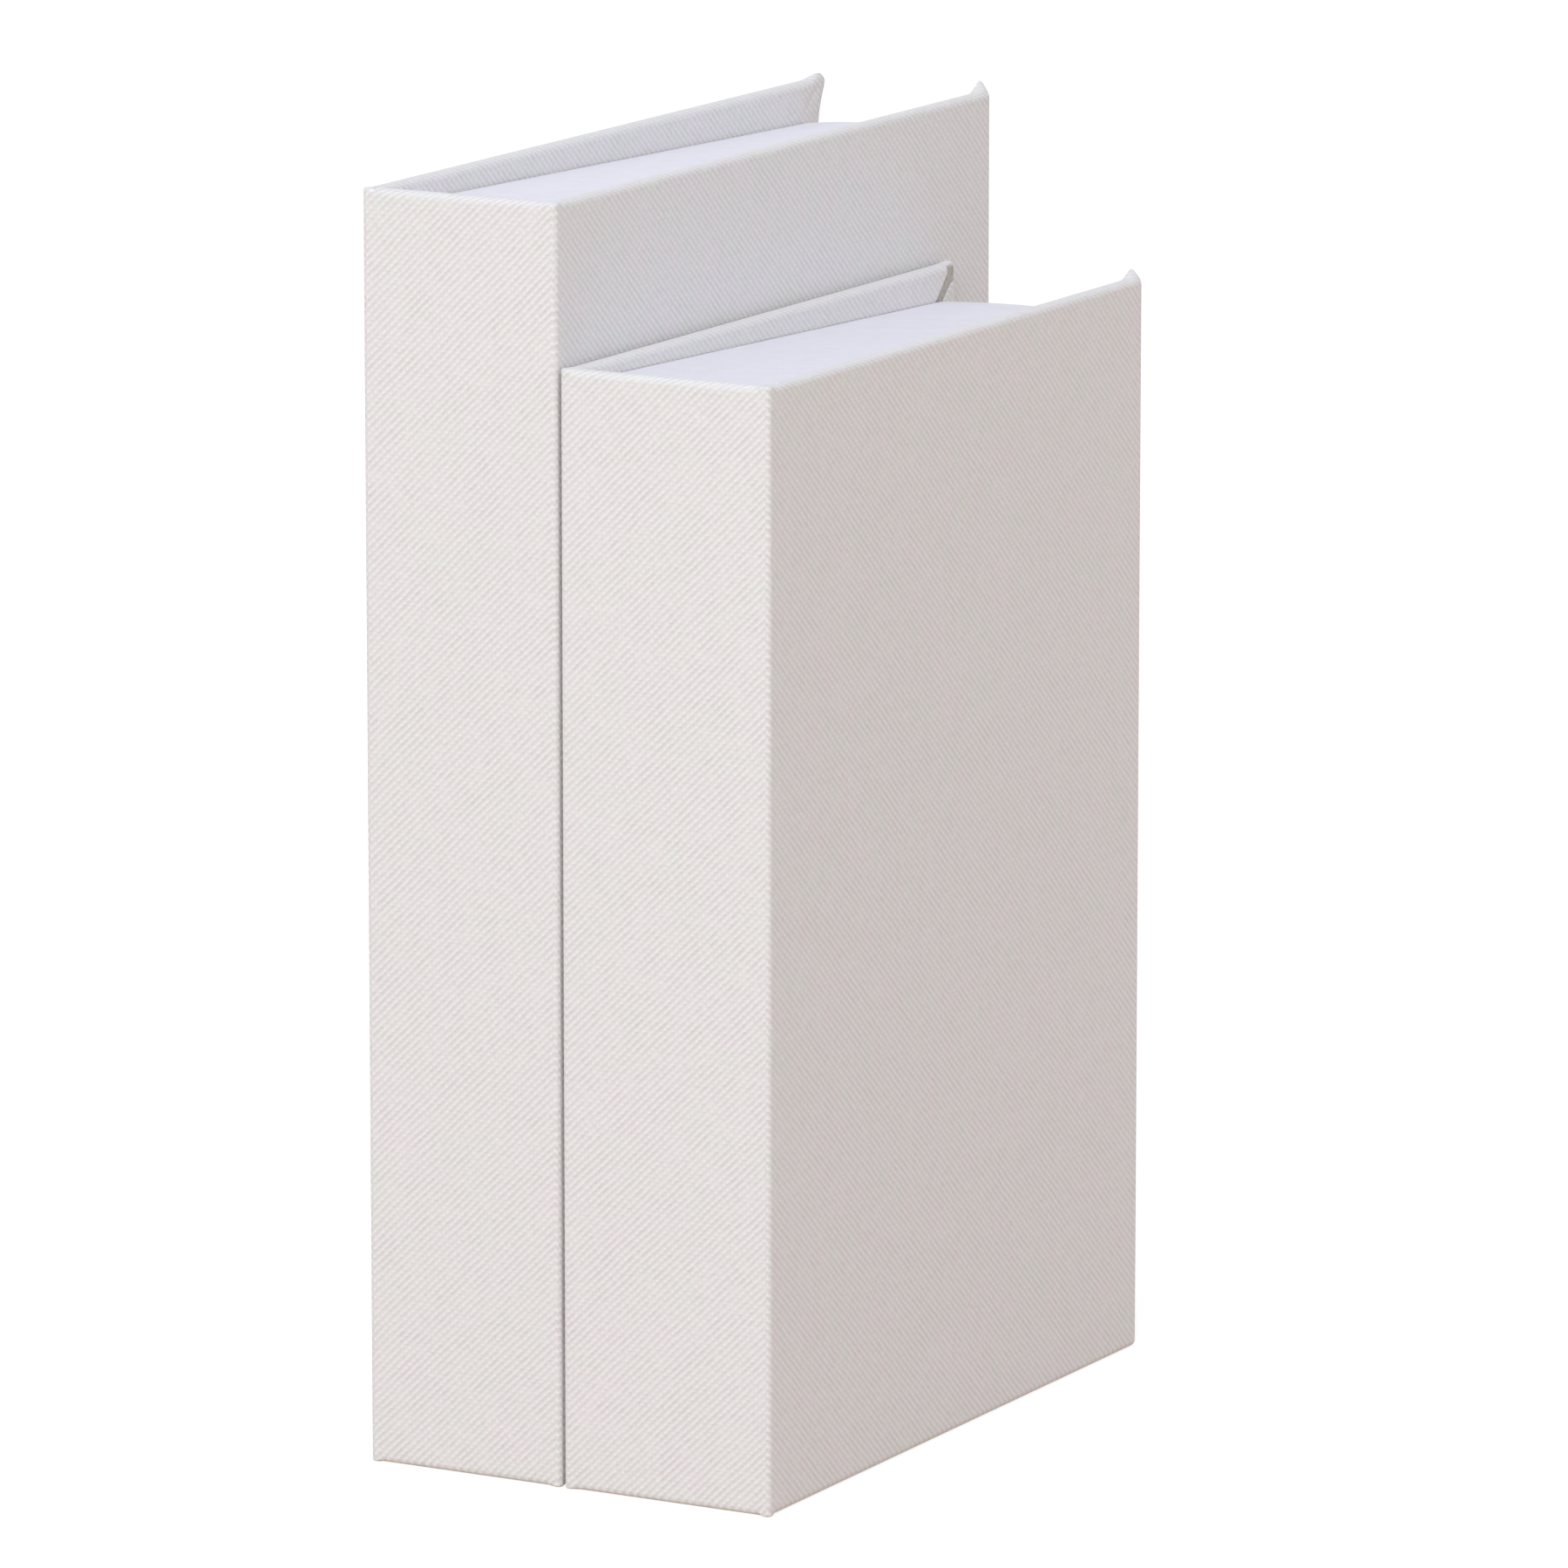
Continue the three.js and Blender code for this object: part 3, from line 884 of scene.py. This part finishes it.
@dataclass
class Joint:
    """The cloth joint that the lid turns on, drawn square, as at rest.

    The outer cloth and the inner lining each run from the box's board to the lid's as a fan about
    the joint's axis, and a rolled core with eased ends fills the middle.
    """

    plan: BoxPlan
    finishes: Finishes
    core_radius: float = 1.3
    core_top: float = 0.25
    core_ease: float = 0.4
    core_turns: Sequence[float] = (0.5, 1.0, math.pi / 2)
    core_sides: int = 24
    steps: int = 10

    def outer_path(self) -> list[Plan]:
        """The joint's outer face in plan, from the spine's end round the corner to the lid's.

        Returns:
            The places in plan.
        """
        r, start = UPRIGHT_CORNER, COVER_START
        flat = [start + (r - start) * k / self.steps for k in range(self.steps)]
        arc = [(r - r * math.sin(turn), r - r * math.cos(turn)) for turn in quarter_turn(self.steps)]
        return [(x, 0.0) for x in flat] + arc + [(0.0, x) for x in reversed(flat)]

    def inner_path(self) -> list[Plan]:
        """The joint's inner face in plan, from the spine board's edge to the lid board's.

        Returns:
            The places in plan.
        """
        shares = [k / (2 * self.steps) for k in range(2 * self.steps + 1)]
        return [(COVER_START - JOINT_GAP * k, COVER + JOINT_GAP * k) for k in shares]

    def fan(self, name: str, path: Sequence[Plan]) -> bpy.types.Object:
        """Makes one side of the joint, from a path in plan in to the axis, with rounded ends.

        Args:
            name: The piece's name after its box's.
            path: The side's places in plan.

        Returns:
            The piece.
        """
        maker = MeshMaker()
        rows = []
        turns = quarter_turn(RIM_STEPS)
        for x, y in path:
            r = rim_radius(max(x, y) - UPRIGHT_CORNER)
            rim = [(r * (1 - math.cos(turn)), r * (1 - math.sin(turn))) for turn in turns]
            column = [(JOINT_AXIS, 0.0), *reversed(rim), (0.0, PLAIN_FACE)]
            section = column + [(w, self.plan.height - d) for w, d in reversed(column)]
            row = []
            for w, z in section:
                share = w / JOINT_AXIS
                place = (x + (JOINT_AXIS - x) * share, y + (JOINT_AXIS - y) * share)
                row.append(maker.point(self.plan.to_row(*place, z)))
            rows.append(row)
        maker.bands(rows)
        maker.faces += [rows[0], rows[-1]]
        return maker.piece(self.plan.node(name))

    def bend(self, made: bpy.types.Object, start: Plan, end: Plan) -> None:
        """Bakes a side of the joint's place into its mesh.

        Args:
            made: The piece.
            start: Not used.
            end: Not used.
        """
        places = [tuple(c * MM for c in self.plan.to_row(*place, 0.0)) for place in (start, end)]
        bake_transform(made)

    def core(self) -> bpy.types.Object:
        """Makes the rolled cloth core on the joint's axis.

        Returns:
            The piece.
        """
        maker = MeshMaker()
        r, low, ease = self.core_radius, self.core_top, self.core_ease
        column = [(0.0, low), (r - ease, low)]
        for turn in self.core_turns:
            column.append((r - ease * (1 - math.sin(turn)), low + ease * (1 - math.cos(turn))))
        column += [(w, self.plan.height - z) for w, z in reversed(column)]
        rows = []
        for step in range(self.core_sides + 1):
            turn = math.tau * step / self.core_sides
            row = []
            for w, z in column:
                place = (JOINT_AXIS + w * math.cos(turn), JOINT_AXIS + w * math.sin(turn))
                row.append(maker.point(self.plan.to_row(*place, z)))
            rows.append(row)
        maker.bands(rows)
        made = maker.piece(self.plan.node("joint_core"))
        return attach(made, self.plan.body)

    def build(self) -> list[bpy.types.Object]:
        """Makes the joint's pieces.

        Returns:
            The pieces.
        """
        outer = self.fan("joint_cloth", self.outer_path())
        self.bend(outer, (COVER_START, 0.0), (0.0, COVER_START))
        inner = self.fan("joint_lining", self.inner_path())
        self.bend(inner, (COVER_START, COVER), (COVER, COVER_START))
        core = self.core()
        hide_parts(self.plan.node("lid_joint_cloth"))
        for made in (outer, inner, core):
            made.data.materials.append(self.finishes.bookcloth)
        return [outer, inner, core]


@dataclass
class Tray:
    """The tray's page-white paper: one sheet over the four walls, their rim and their insides."""

    plan: BoxPlan
    finishes: Finishes
    lid_gap: float = 0.3
    glue: float = 0.25
    floor_depth: float = 6.15
    rim_radius: float = 0.45
    rim_steps: int = 4
    rim_width: float = 2.0
    corner_radius: float = 0.7
    inner_corner_radius: float = 0.4
    corner_steps: int = 5
    side_steps: int = 12
    arch_steps: int = 12

    def corners(self, inset: float, fore_inset: float) -> list[Plan]:
        """The tray's outline in y and z, drawn in from its outer face.

        Args:
            inset: How far in from the head, tail and spine walls' outer faces.
            fore_inset: How far in from the fore-edge wall's outer face.

        Returns:
            The four corners: spine tail, fore-edge tail, fore-edge head, spine head.
        """
        plan = self.plan
        spine = COVER + self.glue
        lean = (plan.square_at_fore_edge - plan.square_at_spine) / (plan.tray_fore_edge - spine)
        found = []
        for y, head in (
            (spine + inset, False),
            (plan.tray_fore_edge - fore_inset, False),
            (plan.tray_fore_edge - fore_inset, True),
            (spine + inset, True),
        ):
            drawn = plan.square_at_spine + lean * (y - spine) + inset * math.hypot(1, lean)
            found.append((y, plan.height - drawn if head else drawn))
        return found

    def arch(self, x: float, y: float, z: float) -> float:
        """How far the head's paper stands up in an arch, which grows towards the fore edge.

        Args:
            x: Across the box from its lid's outer face.
            y: Back from the spine's outer face.
            z: Up from the tail.

        Returns:
            The height of the arch there.
        """
        if z < self.plan.height / 2:
            return 0.0
        share = (x - COVER) / (self.plan.thickness - 2 * COVER)
        return self.plan.tray_arch * 4 * share * (1 - share) * (y / self.plan.tray_fore_edge) ** 2

    def ring(self, inset: float, fore_inset: float, radius: float) -> list[Plan]:
        """The tray's outline with rounded corners.

        Args:
            inset: How far in from the head, tail and spine walls' outer faces.
            fore_inset: How far in from the fore-edge wall's outer face.
            radius: The corners' radius.

        Returns:
            The outline's places in y and z.
        """
        corners = [Vector(c) for c in self.corners(inset, fore_inset)]
        places = []
        for i, corner in enumerate(corners):
            before = (corners[i - 1] - corner).normalized()
            after = (corners[(i + 1) % 4] - corner).normalized()
            for k in range(self.corner_steps + 1):
                t = k / self.corner_steps
                bend = corner + radius * (before * (1 - t) ** 2 + after * t**2)
                places.append((bend.x, bend.y))
            start = corner + after * radius
            run = corners[(i + 1) % 4] - after * radius - start
            places += [tuple(start + run * (k / self.side_steps)) for k in range(1, self.side_steps)]
        return places

    def build(self) -> list[bpy.types.Object]:
        """Makes the tray's paper.

        Returns:
            The piece.
        """
        plan, r = self.plan, self.rim_radius
        low, back = COVER + self.lid_gap, plan.thickness - COVER - self.glue
        floor = plan.thickness - self.floor_depth
        turns = quarter_turn(self.rim_steps)
        rim = low + r + self.rim_width
        across = [back + (rim - back) * k / self.arch_steps for k in range(self.arch_steps + 1)]
        section = [(0.0, 0.0, self.corner_radius, x) for x in across]
        for turn in turns:
            drop = r * (1 - math.cos(turn))
            section.append((drop, drop, self.corner_radius - drop, low + r * (1 - math.sin(turn))))
        for turn in reversed(turns):
            drop = r * (1 - math.cos(turn))
            x = low + r * (1 - math.sin(turn))
            section.append((WALL - drop, FORE_EDGE_WALL - drop, self.inner_corner_radius, x))
        section += [(WALL, FORE_EDGE_WALL, self.inner_corner_radius, x) for x in (rim, floor)]
        maker = MeshMaker()
        rows = []
        for inset, fore_inset, radius, x in section:
            ring = self.ring(inset, fore_inset, radius)
            arched = inset < WALL / 2
            row = [maker.point(plan.to_row(x, y, z + arched * self.arch(x, y, z))) for y, z in ring]
            rows.append([*row, row[0]])
        maker.bands(rows)
        made = thickened(maker.piece(plan.node("tray_paper")), PAPER - SHEET_GAP)
        made.data.materials.append(self.finishes.page_paper)
        walls = ("tail", "fore_edge", "head", "spine")
        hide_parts(*[plan.node(f"tray_{wall}_paper") for wall in walls])
        return [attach(made, plan.body)]


@dataclass
class Studio:
    """Camera, lamps, world and floor."""

    azimuth: float = 28.89
    elevation: float = 11.37
    distance: float = 2407.64
    focal_px: float = 13027.0
    aim_right: float = -9.19
    aim_up: float = 0.02
    frame_px: float = 1799.0
    sensor_mm: float = 36.0
    look_at: Point = (12.125, -5.0, 135.0)
    lamp_aim: Point = (0.0, 0.0, 120.0)
    floor_radius: float = 9000.0
    floor_sides: int = 64

    def camera(self) -> None:
        """Sets the camera where the photograph was taken from."""
        a, e = math.radians(self.azimuth), math.radians(self.elevation)
        back = Vector((math.sin(a) * math.cos(e), -math.cos(a) * math.cos(e), math.sin(e)))
        right = Vector((math.cos(a), math.sin(a), 0))
        up = back.cross(right)
        target = Vector(self.look_at) + right * self.aim_right + up * self.aim_up
        lens = bpy.data.cameras.new("camera")
        lens.sensor_width = self.sensor_mm
        lens.lens = self.focal_px * self.sensor_mm / self.frame_px
        lens.clip_start, lens.clip_end = 0.05, 60.0
        made = in_scene("camera", lens)
        made.location = (target + back * self.distance) * MM
        made.rotation_mode = "QUATERNION"
        made.rotation_quaternion = (-back).to_track_quat("-Z", "Y")
        bpy.context.scene.camera = made

    def lamp(self, name: str, place: Point, watts: float, size: float, colour: str) -> None:
        """Sets a square softbox that faces the boxes.

        Args:
            name: The lamp's name.
            place: Its place in metres.
            watts: Its power.
            size: Its side in metres.
            colour: Its sRGB hex colour.
        """
        light = bpy.data.lights.new(name, "AREA")
        light.energy = watts
        light.size = size
        light.color = linear(colour)[:3]
        made = in_scene(name, light)
        made.location = place
        aim = Vector(self.lamp_aim) * MM - Vector(place)
        made.rotation_mode = "QUATERNION"
        made.rotation_quaternion = aim.to_track_quat("-Z", "Y")

    def world(self) -> None:
        """Makes the even room light, white where the camera sees it."""
        world = bpy.data.worlds.new("studio")
        bpy.context.scene.world = world
        r = Recipe(world)
        room = r.add("Background", Color=linear("#F9FAFF"), Strength=0.773)
        white = r.add("Background", Color=(1, 1, 1, 1), Strength=1.0)
        r.add("OutputWorld", Surface=r.add("MixShader", i0=self.seen(r), i1=room, i2=white))

    @staticmethod
    def seen(recipe: Recipe) -> bpy.types.Node:
        """Adds what tells rays that see the backdrop from rays that light the boxes.

        Args:
            recipe: The tree it goes into.

        Returns:
            A node that gives 1 for a ray from the camera, a mirror or through a clear piece.
        """
        rays = recipe.add("LightPath").outputs
        mirrored = recipe.add("Math", "MAXIMUM", i0=rays["Is Camera Ray"], i1=rays["Is Glossy Ray"])
        return recipe.add("Math", "MAXIMUM", i0=mirrored, i1=rays["Is Transmission Ray"])

    def floor(self) -> None:
        """Makes the pale floor, which keeps the boxes' soft shadow."""
        maker = MeshMaker()
        r = self.floor_radius
        turns = [math.tau * k / self.floor_sides for k in range(self.floor_sides)]
        maker.faces.append([maker.point((r * math.cos(turn), r * math.sin(turn), 0.0)) for turn in turns])
        made = maker.piece("studio_floor")
        material = bpy.data.materials.new("pale_floor")
        r = Recipe(material)
        pale = r.add("BsdfDiffuse", Color=linear("#DCC8B6"))
        shown = r.add("BsdfDiffuse", Color=(0.3, 0.3, 0.3, 1))
        glow = r.add("Emission", Color=(1, 1, 1, 1), Strength=0.8)
        white = r.add("AddShader", i0=shown, i1=glow)
        r.add("OutputMaterial", Surface=r.add("MixShader", i0=self.seen(r), i1=pale, i2=white))
        made.data.materials.append(material)

    def build(self) -> None:
        """Sets up the whole studio."""
        self.camera()
        place = (0.436, -2.47, 1.95)
        self.lamp("key_softbox", place=place, watts=43.4, size=1.6, colour="#EEF9FF")
        self.world()
        self.floor()
        bpy.context.scene.view_settings.view_transform = "Standard"


LARGE = BoxPlan(
    name="large",
    body="large_box",
    lid_body="large_lid",
    height=270.0,
    depth=190.0,
    thickness=46.0,
    left=-47.875,
    front=-95.0,
    lid_side=Side.LEFT,
    square_at_spine=4.0,
    square_at_fore_edge=9.0,
    tray_fore_edge=183.0,
    tray_arch=1.3,
    back_tuck=Tuck(out=2.4, up=2.6),
    lid_tuck=Tuck(out=3.3, up=1.5),
    back_mitre=Mitre.CLOSED,
)

SMALL = BoxPlan(
    name="small",
    body="small_box",
    lid_body="small_lid",
    height=236.0,
    depth=166.0,
    thickness=49.0,
    left=-1.125,
    front=-95.0,
    lid_side=Side.RIGHT,
    square_at_spine=2.7,
    square_at_fore_edge=7.7,
    tray_fore_edge=159.0,
    tray_arch=0.8,
    back_tuck=Tuck(out=0.4, up=0.35, crest=1.6),
    lid_tuck=Tuck(out=1.9, up=2.1),
    back_mitre=Mitre.OPEN,
)


def dress_frame(finishes: Finishes) -> None:
    """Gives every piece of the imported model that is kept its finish.

    Args:
        finishes: The pair's finishes.
    """
    endings = {
        "_cloth": finishes.bookcloth,
        "_paper": finishes.page_paper,
        "_lining": finishes.lining_paper,
        "_magnet": finishes.magnet,
    }
    for name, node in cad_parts.items():
        finish = next((f for ending, f in endings.items() if name.endswith(ending)), finishes.greyboard)
        for place in node.material_slots:
            place.material = finish
        log.info("%s is %s", name, finish.name)


def main() -> None:
    """Builds the studio and both boxes."""
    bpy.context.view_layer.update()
    Studio().build()
    finishes = Finishes.mixed()
    dress_frame(finishes)
    for plan in (LARGE, SMALL):
        for part in (Case(plan, finishes), Joint(plan, finishes), Tray(plan, finishes)):
            for piece in part.build():
                log.info("%s has %d faces", piece.name, len(piece.data.polygons))


if __name__ == "__main__":
    logging.basicConfig(level=logging.INFO, format="%(message)s")
    main()
